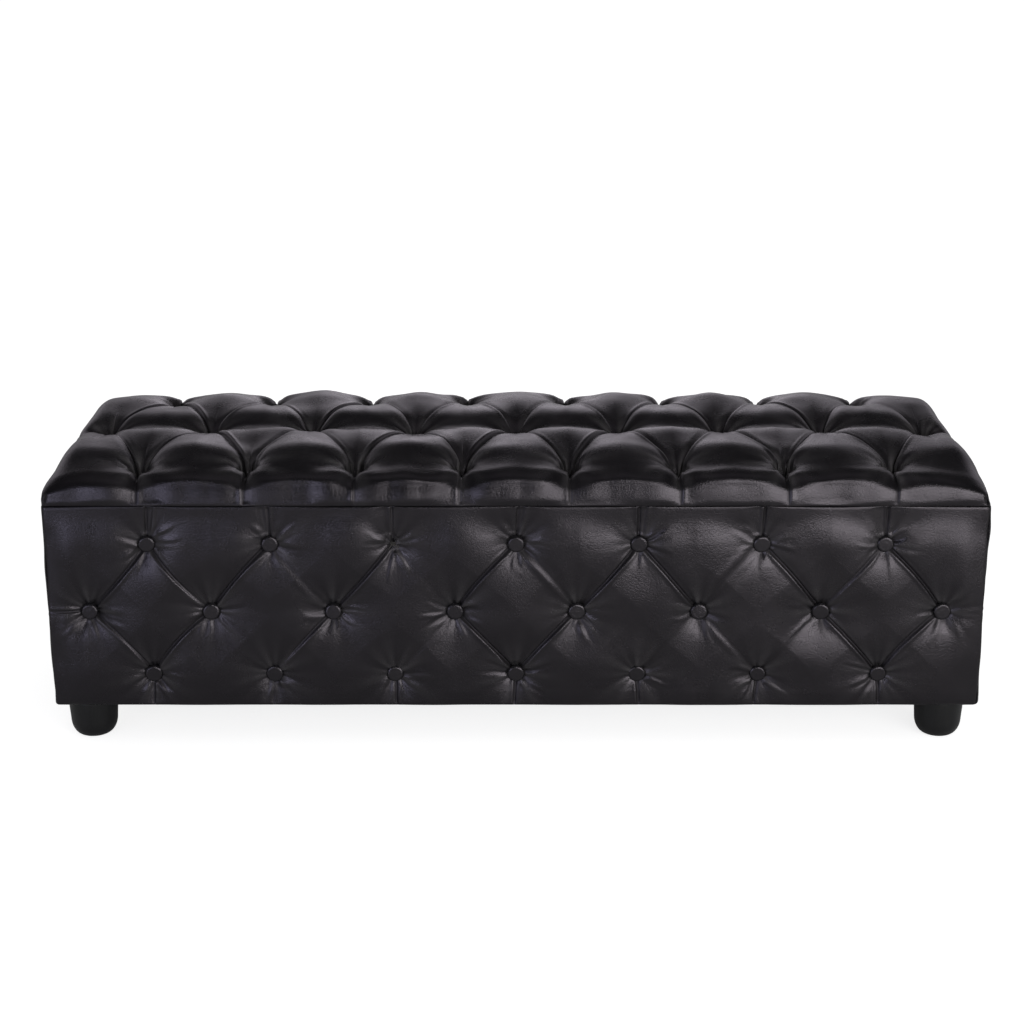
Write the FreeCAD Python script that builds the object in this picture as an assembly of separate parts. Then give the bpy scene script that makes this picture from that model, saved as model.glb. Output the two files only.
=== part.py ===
import FreeCAD, Part
import math
import os
from collections import namedtuple

V = FreeCAD.Vector
os.makedirs("parts", exist_ok=True)

# Millimetres. X runs along the bench, the front faces -Y, and Z rises from the floor.

# Overall sizes
bench_length = 1400.0
bench_depth = 480.0
seam_height = 379.0
foot_height = 61.0

# Tufted top: rises above the seam, how soon it rises from a pleat, and margins from the tufts to the outside
top_crown = 64.0
top_seat = 20.0
top_pleat = 50.0
top_border = 38.0
skirt_rise = 30.0
end_rise = 16.0
top_fullness = 0.6
top_count = 8
top_end_margin = 60.0
top_row_margin = 60.0
top_cover = 8.0
seat_cover = 4.0

# Tufted sides: thickness of the cover over the foam, margins from the tufts to the edges, and how low they sit
side_crown = 12.0
side_seat = 3.0
side_pleat = 7.5
side_border = 7.0
seam_draw = 3.5
side_fullness = 0.7
front_count = 7
end_count = 2
side_end_margin = 62.0
side_row_margin = 55.5
side_sag = 7.5

# Pleats and the corners of the covers
crease = 2.0
corner_round = 8.0

# Stations of the pads: between two tufts, past the last tuft, and steps from a pleat to a crown
outside_between = (0.3, 0.7)
outside_past = (0.4, 0.75, 1.0)
outside_steps = 4
inside_between = (0.5,)
inside_past = (0.6, 1.0)
inside_steps = 2

# Covered buttons, their twine and the toggles that the twine is tied to
button_radius = 13.0
button_rim = 4.0
button_height = 7.5
button_face = 8.0
button_flats = 8
button_play = 1.0
twine_radius = 1.3
twine_play = 0.2
twine_flats = 4
toggle_length = 16.0
toggle_width = 7.0
toggle_thickness = 4.0
toggle_clear = 0.5
missing_button = 2

# Foam, boards and timber
side_foam = 16.0
panel_board = 12.0
deck_board = 18.0
deck_above_seam = 8.0
base_board = 22.0
base_width = 90.0
bearer_width = 45.0
bearer_clear = 2.5
bearer_columns = (2.5, 5.5)

# Cloth and card
hem_thickness = 1.4
hem_clear = 5.0
dust_cloth = 1.0
dust_inset = 12.0
tack_strip = 1.5
tack_width = 9.0

# Feet and their fixings
foot_radius = 37.5
foot_taper = 2.0
foot_round = 16.0
foot_inset = 49.0
foot_collar = 4.0
foot_flats = 24
foot_steps = 3
bolt_radius = 4.0
bolt_in_foot = 38.0
bolt_point = 10.0
bolt_tip = 1.0
insert_radius = 6.5
insert_length = 18.0
fixing_play = 0.1
fixing_flats = 6
sew_gap = 0.001
same_point = 1e-6

# Screws that hold the deck to the bearers
screw_radius = 2.2
screw_head = 4.4
screw_length = 45.0
screw_inset = 40.0

# Levels
dust_top = foot_height + dust_cloth
base_bottom = dust_top + hem_thickness
base_top = base_bottom + base_board
deck_top = seam_height + deck_above_seam
deck_bottom = deck_top - deck_board

# Half sizes of the layers, from the outside in
half_x = bench_length / 2
half_y = bench_depth / 2
board_x = half_x - side_crown
board_y = half_y - side_crown
foam_x = board_x - side_foam
foam_y = board_y - side_foam
inner_x = foam_x - panel_board
inner_y = foam_y - panel_board
side_height = seam_height - dust_top
side_middle = (seam_height + dust_top) / 2
side_edge = side_crown - seam_draw

# Timber kept clear of the toggles, and hems kept clear of the bolts
batten = side_end_margin - (half_x - inner_x) - toggle_width / 2 - toggle_clear
bearer_height = side_row_margin - (seam_height - deck_bottom) - toggle_length / 2 - bearer_clear
hem_width = foot_inset - side_crown - bolt_radius - hem_clear

Pad = namedtuple(
    "Pad",
    "half_u half_v rim_w rim_v wall_w end_w seat crown pleat border full sag count pitch row seat_r crease corner",
)


def block(x0, x1, y0, y1, z0, z1):
    return Part.makeBox(x1 - x0, y1 - y0, z1 - z0, V(x0, y0, z0))


def face(points):
    return Part.Face(Part.makePolygon(points + [points[0]]))


def solid(faces):
    body = Part.Solid(Part.Shell(faces))
    body.fix(sew_gap, sew_gap, sew_gap)
    return body


def ring(radius, sides, height):
    turns = [2 * math.pi * (i + 0.5) / sides for i in range(sides)]
    return [V(radius * math.cos(turn), radius * math.sin(turn), height) for turn in turns]


def turned(profile, sides):
    """A piece turned about Z through radius and height pairs, with the given number of flats."""
    rings = [ring(radius, sides, height) for radius, height in profile]
    faces = [face(rings[0]), face(rings[-1])]
    for low, high in zip(rings, rings[1:]):
        faces += [face([low[i - 1], low[i], high[i], high[i - 1]]) for i in range(sides)]
    return solid(faces)


def rod(radius, low, high, sides):
    return turned([(radius, low), (radius, high)], sides)


# Tufted pads: u runs along the pad, v across it and w outwards


def swell(pad, s, rise):
    return rise * (4 * s * (1 - s)) ** pad.full


def spread(steps):
    return [(1 - math.cos(math.pi * i / steps)) / 2 for i in range(1, steps)]


def half_section(pad, valley, floor, valley_w, border_w, middle_w, wall_v, steps):
    """Points from the rim over the border to the valley, then up to the middle of the pad."""
    outer = valley + floor
    inner = max(valley - floor, 0.0)
    points = [(min(pad.rim_v, wall_v), pad.rim_w), (wall_v, pad.wall_w)]
    lift = border_w - (pad.wall_w + valley_w) / 2
    for s in spread(steps):
        level = pad.wall_w + (valley_w - pad.wall_w) * s
        points.append((wall_v + (outer - wall_v) * s, level + swell(pad, s, lift)))
    points += [(outer, valley_w), (inner, valley_w)]
    for s in spread(2 * steps)[: steps]:
        points.append((inner * (1 - 2 * s), valley_w + swell(pad, s, middle_w - valley_w)))
    return points


def tuft_section(pad, u, t, steps):
    """Section between an outer-row tuft at t = 0 and a middle-row tuft at t = 1."""
    floor = pad.seat_r if t in (0, 1) else pad.crease
    valley_w = pad.seat + (pad.pleat - pad.seat) * 4 * t * (1 - t)
    middle_w = max(valley_w, pad.seat + (pad.crown - pad.seat) * math.sqrt(1 - t * t))
    away = off_middle_row(pad, u)
    border_w = pad.border + (pad.crown - pad.border) * math.sqrt(1 - away * away)
    half = half_section(pad, pad.row * (1 - t), floor, valley_w, border_w, middle_w, pad.half_v, steps)
    return whole_section(pad, u, half)


def off_middle_row(pad, u):
    """0 beside a tuft of the middle row, 1 beside a tuft of the outer rows."""
    place = u / pad.pitch + pad.count / 2
    return min(1.0, 2 * abs(place - round(place)))


def end_section(pad, u, q, steps):
    """Section past the last tuft, from the tuft at q = 0 to the end of the pad at q = 1."""
    level = pad.seat + (pad.end_w - pad.seat) * q
    valley_w = level + swell(pad, q, pad.border - (pad.seat + pad.end_w) / 2)
    wall_w = pad.wall_w + (pad.end_w - pad.wall_w) * q
    border_w = wall_w + (pad.crown - wall_w) * math.sqrt(1 - q * q)
    wall_v = pad.half_v - (pad.corner if q == 1 else 0)
    low = pad._replace(wall_w=wall_w)
    half = half_section(low, 0.0, pad.crease, valley_w, max(border_w, valley_w), valley_w, wall_v, steps)
    return whole_section(pad, u, half)


def whole_section(pad, u, half):
    left = [V(u, lowered(pad, -v), w) for v, w in half]
    right = [V(u, lowered(pad, v), w) for v, w in reversed(half[:-1])]
    return left + right


def lowered(pad, v):
    """Lets the middle of a pad sit lower than the middle of its board, while its edges stay."""
    return v - pad.sag * (1 - (v / pad.half_v) ** 2)


def pad_sections(pad, between, ends, steps, notch=True):
    """Sections along the whole pad, with the given stations between tufts and past the last ones."""
    step = pad.pitch / 2
    run = step - 2 * pad.seat_r
    last = pad.count * step + pad.seat_r
    sections = []
    for q in reversed(ends):
        sections.append(end_section(pad, -last - (pad.half_u - last) * q, q, steps))
    for k in range(-pad.count, pad.count + 1):
        middle = (k - pad.count) % 2 == 0
        start = 1 if middle else 0
        notched = notch and not middle
        for across in (-pad.seat_r, 0.0, pad.seat_r) if notched else (-pad.seat_r, pad.seat_r):
            sections.append(tuft_section(pad, k * step + across, start, steps))
        if k == pad.count:
            continue
        for f in between:
            t = 1 - f if middle else f
            sections.append(tuft_section(pad, k * step + pad.seat_r + run * f, t, steps))
    for q in ends:
        sections.append(end_section(pad, last + (pad.half_u - last) * q, q, steps))
    return sections


def skin(sections):
    """Triangles over neighbouring sections, folded the way that keeps the pad full."""
    faces = []
    for one, two in zip(sections, sections[1:]):
        for i in range(len(one) - 1):
            a, b, c, d = one[i], two[i], two[i + 1], one[i + 1]
            if a.z + c.z >= b.z + d.z:
                corners = ((a, b, c), (a, c, d))
            else:
                corners = ((a, b, d), (b, c, d))
            for p, q, r in corners:
                if (q - p).cross(r - p).Length > same_point:
                    faces.append(face([p, q, r]))
    return faces


def tidy(points):
    """Drops points that repeat the one before."""
    return [p for i, p in enumerate(points) if (p - points[i - 1]).Length > same_point]


def rim_outline(sections):
    near = [s[0] for s in sections]
    far = [s[-1] for s in reversed(sections)]
    return tidy(near + far)


def crowned(pad, between, ends, steps, notch):
    """Outer faces of the top, without the flat underside, and the outline of that underside."""
    sections = pad_sections(pad, between, ends, steps, notch)
    faces = skin(sections) + [face(tidy(sections[0])), face(tidy(sections[-1]))]
    return faces, rim_outline(sections)


def panel(pad, between, ends, steps):
    """A tufted cover with a flat back and mitred ends."""
    sections = pad_sections(pad, between, ends, steps)
    back_u = pad.half_u - pad.rim_w
    v = pad.half_v
    back = [V(-back_u, -v, 0), V(back_u, -v, 0), V(back_u, v, 0), V(-back_u, v, 0)]
    faces = skin(sections) + [face(back)]
    faces.append(face(tidy([s[0] for s in sections] + [back[1], back[0]])))
    faces.append(face(tidy([s[-1] for s in sections] + [back[2], back[3]])))
    faces.append(face(tidy(sections[0] + [back[3], back[0]])))
    faces.append(face(tidy(sections[-1] + [back[2], back[1]])))
    return solid(faces)


def tuft_points(count, pitch, row):
    """Tufts row by row, from the far row (v > 0) to the near one."""
    outer = [(i - (count - 1) / 2) * pitch for i in range(count)]
    middle = [(i - count / 2) * pitch for i in range(count + 1)]
    return [(u, row) for u in outer] + [(u, 0.0) for u in middle] + [(u, -row) for u in outer]


# Pieces that repeat at each tuft, drawn along w


def button():
    profile = [(button_radius, 0.0), (button_radius, button_rim), (button_face, button_height)]
    return turned(profile, button_flats)


def copies_at(shape, places, w=0.0):
    copies = []
    for u, v in places:
        copy = shape.copy()
        copy.translate(V(u, v, w))
        copies.append(copy)
    return Part.makeCompound(copies)


def toggle(back):
    half_u = toggle_width / 2
    half_v = toggle_length / 2
    return block(-half_u, half_u, -half_v, half_v, back - toggle_thickness, back)


def holes(tufts, low, high):
    return copies_at(rod(twine_radius + twine_play, low, high, twine_flats), tufts)


# Places of the four sides: turn about Z, then out from the middle of the bench


def to_side(shape, turn, out):
    shape = shape.copy()
    shape.rotate(V(0, 0, 0), V(1, 0, 0), 90)
    shape.translate(V(0, -out, side_middle))
    shape.rotate(V(0, 0, 0), V(0, 0, 1), turn)
    return shape


def save(name, shape):
    shape.exportStep(f"parts/{name}.step")


# Tufted top with its foam, buttons and twine

top_pitch = (bench_length - 2 * top_end_margin) / top_count
top_row = half_y - top_row_margin
seat_radius = button_radius + button_play
top_outside = Pad(
    half_u=half_x,
    half_v=half_y,
    rim_w=0.0,
    rim_v=half_y - seam_draw,
    wall_w=skirt_rise,
    end_w=end_rise,
    seat=top_seat,
    crown=top_crown,
    pleat=top_pleat,
    border=top_border,
    full=top_fullness,
    sag=0.0,
    count=top_count,
    pitch=top_pitch,
    row=top_row,
    seat_r=seat_radius,
    crease=crease,
    corner=corner_round,
)
top_inside = top_outside._replace(
    half_u=board_x,
    half_v=board_y,
    rim_v=board_y,
    wall_w=skirt_rise - top_cover / 2,
    end_w=end_rise - top_cover / 2,
    seat=top_seat - seat_cover,
    crown=top_crown - 2 * top_cover,
    pleat=top_pleat - 2 * top_cover,
    border=top_border - top_cover,
    seat_r=seat_radius + top_cover / 2,
    crease=crease + top_cover / 2,
    corner=0.0,
)
foam_outside = top_inside._replace(rim_w=deck_above_seam)
top_tufts = tuft_points(top_count, top_pitch, top_row)

outside, outside_rim = crowned(top_outside, outside_between, outside_past, outside_steps, True)
inside, inside_rim = crowned(top_inside, inside_between, inside_past, inside_steps, False)
underside = Part.Face([Part.makePolygon(rim + rim[:1]) for rim in (outside_rim, inside_rim)])
cover = solid(outside + inside + [underside])
foam, foam_rim = crowned(foam_outside, inside_between, inside_past, inside_steps, False)
foam = solid(foam + [face(foam_rim)])
under_deck = deck_bottom - seam_height


def to_top(shape):
    return shape.translated(V(0, 0, seam_height))


save("top_cover", to_top(cover.cut(holes(top_tufts, 0, top_seat))))
save("seat_foam", to_top(foam.cut(holes(top_tufts, 0, top_seat))))
save("top_buttons", to_top(copies_at(button(), top_tufts, top_seat)))
save("top_twine", to_top(copies_at(rod(twine_radius, under_deck, top_seat, twine_flats), top_tufts)))
save("top_toggles", to_top(copies_at(toggle(under_deck), top_tufts)))

# Seat deck on its bearers

deck = block(-board_x, board_x, -board_y, board_y, deck_bottom, deck_top)
deck = deck.cut(to_top(holes(top_tufts, under_deck, deck_above_seam)))


def screw(play):
    neck = screw_radius - screw_head
    profile = [(screw_head, 0.0), (screw_radius, neck), (screw_radius, -screw_length)]
    return turned([(radius + play, height) for radius, height in profile], fixing_flats)


bearer_places = [way * column * top_pitch / 2 for way in (-1, 1) for column in bearer_columns]
screw_places = [(x, way * (inner_y - screw_inset)) for x in bearer_places for way in (-1, 1)]
screw_holes = copies_at(screw(fixing_play), screw_places, deck_top)
save("seat_deck", deck.cut(screw_holes))
save("deck_screws", copies_at(screw(0.0), screw_places, deck_top))
for number, x in enumerate(sorted(bearer_places), 1):
    half = bearer_width / 2
    bearer = block(x - half, x + half, -inner_y, inner_y, deck_bottom - bearer_height, deck_bottom)
    save(f"deck_bearer_{number}", bearer.cut(screw_holes))

# Four padded sides: cover, foam, board, buttons, twine, toggles and the card strip under the seam

side_row = side_height / 2 - side_row_margin
board_low = base_top - side_middle
board_high = deck_bottom - side_middle
board_back = -side_foam - panel_board


def side(name, turn, out, across, count, hem_end, foam_end, board_end, skip=None):
    """One side of the bench, out from its middle and across its width, facing where turn points it."""
    pitch = 2 * (across - side_end_margin) / count
    pad = Pad(
        half_u=across - seam_draw,
        half_v=side_height / 2,
        rim_w=side_edge,
        rim_v=side_height / 2,
        wall_w=side_edge,
        end_w=side_edge,
        seat=side_seat,
        crown=side_crown,
        pleat=side_pleat,
        border=side_border,
        full=side_fullness,
        sag=side_sag,
        count=count,
        pitch=pitch,
        row=side_row,
        seat_r=seat_radius,
        crease=crease,
        corner=0.0,
    )
    tufts = [(u, lowered(pad, v)) for u, v in tuft_points(count, pitch, side_row)]
    kept = [tuft for i, tuft in enumerate(tufts) if i != skip]
    v = pad.half_v
    hem = block(-hem_end, hem_end, -v, hem_thickness - v, -hem_width, 0)
    strip_end = across - side_crown
    strip = block(-strip_end, strip_end, v - tack_width, v, 0, tack_strip)
    cover = panel(pad, inside_between, inside_past, inside_steps)
    cover = cover.fuse(hem).cut(strip).cut(holes(tufts, 0, side_seat))
    foam = block(-foam_end, foam_end, board_low, board_high, -side_foam, 0)
    board = block(-board_end, board_end, board_low, board_high, board_back, -side_foam)
    pieces = {
        "cover": cover,
        "foam": foam.cut(holes(tufts, -side_foam, 0)),
        "board": board.cut(holes(tufts, board_back, -side_foam)),
        "buttons": copies_at(button(), kept, side_seat),
        "twine": copies_at(rod(twine_radius, board_back, side_seat, twine_flats), tufts),
        "toggles": copies_at(toggle(board_back), tufts),
        "tack_strip": strip,
    }
    for piece, shape in pieces.items():
        save(f"{name}_{piece}", to_side(shape, turn, out))


end_hem = board_y - hem_width
side("front", 0, board_y, half_x, front_count, board_x, board_x, foam_x, missing_button)
side("right", 90, board_x, half_y, end_count, end_hem, foam_y, inner_y)
side("rear", 180, board_y, half_x, front_count, board_x, board_x, foam_x)
side("left", 270, board_x, half_y, end_count, end_hem, foam_y, inner_y)

# Corner battens, base frame and feet

corners = {
    "front_left": (-1, -1),
    "front_right": (1, -1),
    "rear_left": (-1, 1),
    "rear_right": (1, 1),
}
foot_x = half_x - foot_inset
foot_y = half_y - foot_inset


def at_feet(shape):
    return copies_at(shape, [(x * foot_x, y * foot_y) for x, y in corners.values()])


def foot():
    """A tapered foot with a rounded toe, bored from the top for its bolt."""
    base_r = foot_radius - foot_taper
    profile = []
    for i in range(foot_steps + 1):
        angle = math.pi / 2 * i / foot_steps
        profile.append((base_r - foot_round * (1 - math.sin(angle)), foot_round * (1 - math.cos(angle))))
    profile += [(foot_radius, foot_height - foot_collar), (foot_radius, foot_height)]
    bore = rod(bolt_radius + fixing_play, bolt_low, foot_height, fixing_flats)
    return turned(profile, foot_flats).cut(bore)


bolt_low = foot_height - bolt_in_foot
insert_top = base_bottom + insert_length
bolt_profile = [(bolt_tip, bolt_low), (bolt_radius, bolt_low + bolt_point), (bolt_radius, insert_top)]
bolt_hole = rod(bolt_radius + fixing_play, foot_height, insert_top, fixing_flats)
insert = rod(insert_radius, base_bottom, insert_top, fixing_flats).cut(bolt_hole)
insert_holes = at_feet(rod(insert_radius + fixing_play, base_bottom, insert_top, fixing_flats))
save("hanger_bolts", at_feet(turned(bolt_profile, fixing_flats)))
save("insert_nuts", at_feet(insert))

one_foot = foot()
for corner, (x, y) in corners.items():
    save(f"foot_{corner}", one_foot.translated(V(x * foot_x, y * foot_y, 0)))
    near_x, far_x = sorted((x * inner_x, x * (inner_x - batten)))
    near_y, far_y = sorted((y * inner_y, y * (inner_y - batten)))
    save(f"corner_batten_{corner}", block(near_x, far_x, near_y, far_y, base_top, deck_bottom))

rail_y = board_y - base_width
rail_x = board_x - base_width
rails = {
    "base_rail_front": block(-board_x, board_x, -board_y, -rail_y, base_bottom, base_top),
    "base_rail_rear": block(-board_x, board_x, rail_y, board_y, base_bottom, base_top),
    "base_rail_left": block(-board_x, -rail_x, -rail_y, rail_y, base_bottom, base_top),
    "base_rail_right": block(rail_x, board_x, -rail_y, rail_y, base_bottom, base_top),
    "base_stretcher": block(-base_width / 2, base_width / 2, -rail_y, rail_y, base_bottom, base_top),
}
for name, rail in rails.items():
    save(name, rail.cut(insert_holes))

cloth_x = board_x - dust_inset
cloth_y = board_y - dust_inset
cloth = block(-cloth_x, cloth_x, -cloth_y, cloth_y, foot_height, dust_top)
save("dust_cover", cloth.cut(at_feet(bolt_hole)))
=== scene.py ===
# %% [markdown]
# # A deep-buttoned leather bench
# The object is a long, low box bench in black leather. Its top is tufted deep in diamonds, its four sides
# are padded and buttoned more lightly, and it stands on four short turned feet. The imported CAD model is
# the frame: it gives every place and size, so the pieces made here only have to look right where the
# frame puts them.

# %% Load the frame
import math

import bpy
import numpy as np
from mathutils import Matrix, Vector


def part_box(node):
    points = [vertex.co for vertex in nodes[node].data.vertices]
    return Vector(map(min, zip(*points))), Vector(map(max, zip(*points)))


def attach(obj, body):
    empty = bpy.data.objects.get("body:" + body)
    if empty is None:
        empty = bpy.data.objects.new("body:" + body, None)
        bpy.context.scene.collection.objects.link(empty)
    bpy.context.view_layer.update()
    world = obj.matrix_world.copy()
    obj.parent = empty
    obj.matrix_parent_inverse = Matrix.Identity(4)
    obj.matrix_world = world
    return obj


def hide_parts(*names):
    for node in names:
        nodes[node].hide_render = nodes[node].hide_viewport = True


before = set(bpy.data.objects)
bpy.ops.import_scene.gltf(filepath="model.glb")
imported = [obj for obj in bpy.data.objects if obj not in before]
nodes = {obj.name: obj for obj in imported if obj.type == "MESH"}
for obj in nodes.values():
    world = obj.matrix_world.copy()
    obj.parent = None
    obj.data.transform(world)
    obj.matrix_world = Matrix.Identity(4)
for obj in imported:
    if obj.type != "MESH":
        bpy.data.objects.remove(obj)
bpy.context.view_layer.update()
scene = bpy.context.scene
MM = 0.001

# %% [markdown]
# ## The camera
# The photo is taken from the front, a little above the bench, with a long lens. A camera is a place, a
# tilt and a lens: the lens comes from how much smaller the rear edge looks than the front one, and the
# tilt from how much of the top shows. The bench stands a few pixels right of the middle, which is what
# the small shift is for.

# %% Camera
photo_px, focal_px, shift_px = 1024, 2014.0, -4.0
sensor_mm, look_down = 36.0, 17.7
camera_data = bpy.data.cameras.new("photo_camera")
camera_data.sensor_width = sensor_mm
camera_data.lens = sensor_mm * focal_px / photo_px
camera_data.shift_x = shift_px / photo_px
camera = bpy.data.objects.new("photo_camera", camera_data)
camera.location = (0.0, -3.061, 1.271)
camera.rotation_euler = (math.radians(90 - look_down), 0.0, 0.0)
scene.collection.objects.link(camera)
scene.camera = camera
scene.view_settings.view_transform = "Standard"
print("camera:", round(camera_data.lens, 1), "mm lens")

# %% [markdown]
# ## Nodes in code
# The room, the floor and every finish are made of nodes. In the editor a node is placed, set and wired by
# hand. In code the same three steps repeat for each one, so a few helpers take them up: one places a node
# and fills or links its sockets, and the others do that for sums, blends and ranges and hand back the
# output.

# %% Node helpers
def colour(red, green, blue):
    """A colour as a socket takes it, with full alpha."""
    return (red, green, blue, 1.0)


def set_sockets(tree, node, sockets):
    """Links some of a node's sockets to outputs, or fills them with values."""
    for socket, source in sockets.items():
        if hasattr(source, "is_output"):
            tree.links.new(source, node.inputs[socket])
        else:
            node.inputs[socket].default_value = source


def add_node(tree, kind, sockets=None, **settings):
    """A node with its settings made and its sockets set."""
    node = tree.nodes.new(f"ShaderNode{kind}")
    for key, value in settings.items():
        setattr(node, key, value)
    set_sockets(tree, node, sockets or {})
    return node


def work_out(tree, operation, *sources):
    """The output of a Math node."""
    return add_node(tree, "Math", dict(enumerate(sources)), operation=operation).outputs[0]


def blend_of(tree, share, one, two, kind="RGBA"):
    """The output of a Mix node, for two colours or, as FLOAT, for two values."""
    first, made = {"RGBA": (6, 2), "FLOAT": (2, 0)}[kind]
    return add_node(tree, "Mix", {0: share, first: one, first + 1: two}, data_type=kind).outputs[made]


def rescale(tree, value, start, end, low=0.0, high=1.0, way="LINEAR"):
    """A value carried from one range to another by a Map Range node."""
    limits = {"Value": value, "From Min": start, "From Max": end, "To Min": low, "To Max": high}
    return add_node(tree, "MapRange", limits, interpolation_type=way).outputs[0]


def new_material(name):
    """A material with nodes, its node tree and its shader."""
    material = bpy.data.materials.new(name)
    material.use_nodes = True
    return material, material.node_tree, material.node_tree.nodes["Principled BSDF"]


print("helpers: colour, set_sockets, add_node, work_out, blend_of, rescale, new_material")

# %% [markdown]
# ## Floor, background and lamps
# Black leather is drawn by what it mirrors, so the room matters more than its colour. The level tops of
# the tufts mirror a pale glow along the horizon behind the bench, and the skirt and the dimples of the
# front mirror two low lamps beside the camera. What slopes between these mirrors next to nothing and
# stays black. A third lamp, behind, only lights the floor and the shadow. The white background is only
# what the camera sees: the Light Path node gives its rays the full white and mirror rays the dim room
# with its glow, so that the white doesn't flood the leather.

# %% Background
horizon_fade = (0.25, 0.62, 1.0, 0.0, "SMOOTHSTEP")
behind_fade = (-0.2, 0.4, 0.0, 1.0, "SMOOTHSTEP")
middle_fade = (0.02, 0.22, 1.0, 0.45, "SMOOTHSTEP")
overhead_fade = (0.86, 0.98, 0.045, 0.22, "SMOOTHSTEP")
room_light = 0.45
mirror_tint = colour(0.97, 0.91, 1.0)
room = bpy.data.worlds.new("studio_room")
room.use_nodes = True
scene.world = room
web = room.node_tree
web.nodes.clear()
ray = add_node(web, "LightPath").outputs
toward = add_node(web, "SeparateXYZ", {0: add_node(web, "TexCoord").outputs["Generated"]}).outputs
near_horizon = rescale(web, toward["Z"], *horizon_fade)
in_the_middle = rescale(web, work_out(web, "ABSOLUTE", toward["X"]), *middle_fade)
glow = work_out(web, "MULTIPLY", near_horizon, in_the_middle)
overhead = rescale(web, toward["Z"], *overhead_fade)
mirrored = work_out(web, "MULTIPLY_ADD", glow, rescale(web, toward["Y"], *behind_fade), overhead)
level = blend_of(web, ray["Is Glossy Ray"], room_light, mirrored, "FLOAT")
seen = work_out(web, "MAXIMUM", ray["Is Camera Ray"], ray["Is Transmission Ray"])
tint = blend_of(web, ray["Is Glossy Ray"], colour(1.0, 1.0, 1.0), mirror_tint)
sky = add_node(web, "Background", {"Color": tint, "Strength": work_out(web, "MAXIMUM", seen, level)})
add_node(web, "OutputWorld", {"Surface": sky.outputs[0]})
print("background: white to the camera, dim in the leather")

# %% Floor
floor_half, floor_lift = 40.0, 0.8
floor_corners = [(x * floor_half, y * floor_half, 0.0) for x, y in ((-1, -1), (1, -1), (1, 1), (-1, 1))]
floor_mesh = bpy.data.meshes.new("floor")
floor_mesh.from_pydata(floor_corners, [], [(0, 1, 2, 3)])
floor = bpy.data.objects.new("floor", floor_mesh)
scene.collection.objects.link(floor)
paint, paint_tree, coat = new_material("pale_floor")
floor_seen = add_node(paint_tree, "LightPath").outputs["Is Camera Ray"]
floor_finish = {
    "Base Color": colour(0.52, 0.52, 0.52),
    "Roughness": 0.9,
    "Specular IOR Level": 0.1,
    "Emission Color": colour(1.0, 1.0, 1.0),
    "Emission Strength": work_out(paint_tree, "MULTIPLY", floor_seen, floor_lift),
}
set_sockets(paint_tree, coat, floor_finish)
floor_mesh.materials.append(paint)
print("floor:", 2 * floor_half, "m square")


# %% Lamps
def soft_lamp(name, place, aim, size, power, tint=(1.0, 1.0, 1.0)):
    """A rectangular lamp that the camera doesn't see, turned towards its aim."""
    data = bpy.data.lights.new(name, "AREA")
    data.shape = "RECTANGLE"
    data.size, data.size_y = size
    data.energy = power
    data.color = tint
    lamp = bpy.data.objects.new(name, data)
    lamp.location = place
    lamp.visible_camera = False
    look = [a - p for a, p in zip(aim, place)]
    flat = math.hypot(look[0], look[1])
    lamp.rotation_euler = (math.atan2(flat, -look[2]), 0.0, math.atan2(-look[0], look[1]))
    scene.collection.objects.link(lamp)
    print("lamp:", name, power, "W")
    return lamp


back_lamp = soft_lamp("back_top", (0.0, 1.9, 2.0), aim=(0.0, 0.0, 0.4), size=(3.0, 0.8), power=8.0)
back_lamp.visible_glossy = False
soft_lamp("front_right", (1.8, -3.1, 1.0), aim=(0.5, -0.2, 0.3), size=(3.2, 1.7), power=78.0)
left_place, left_tint = (-2.2, -3.0, 0.6), (0.76, 0.79, 1.0)
soft_lamp("front_left", left_place, aim=(-0.4, -0.2, 0.25), size=(1.8, 1.1), power=23.0, tint=left_tint)

# %% [markdown]
# ## Mesh helpers
# Tufted leather is easiest to make as a fine grid whose points are worked out by formula: each point has
# a place along the panel and across it, and the formula says how far it stands out. These helpers serve
# every panel: a slow seeded wander that keeps the leather from looking ruled, folds pressed along lines
# with painted shade in their slits, pale streaks round the tufts that are partly wear and partly painted
# sheen, and functions that turn grids and rings of points into smooth meshes.

# %% Wander, steps and folds
# The last value is the fold depth from which a slit is painted fully in shade.
fold_reach, fold_overrun, valley_wide, full_shade_deep = 45.0, 0.06, 17.0, 1.5


def wander(u, v, wavelength, seed, waves=16):
    """A smooth field about 1 high, made of seeded waves in all directions."""
    draw = np.random.default_rng(seed)
    field = np.zeros(np.broadcast(u, v).shape)
    for _ in range(waves):
        turn = draw.uniform(0, 2 * np.pi)
        rate = 2 * np.pi / (wavelength * draw.uniform(0.7, 1.5))
        field += np.sin(rate * (u * np.cos(turn) + v * np.sin(turn)) + draw.uniform(0, 2 * np.pi))
    return field * math.sqrt(2 / waves)


def close_steps(count, even=0.5):
    """From 0 to 1, with closer steps at both ends."""
    s = np.linspace(0.0, 1.0, count + 1)
    return even * s + (1 - even) * (1 - np.cos(np.pi * s)) / 2


def ease(low, high, value):
    """0 below low, 1 above high, smooth between."""
    s = np.clip((value - low) / (high - low), 0.0, 1.0)
    return s * s * (3 - 2 * s)


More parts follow.
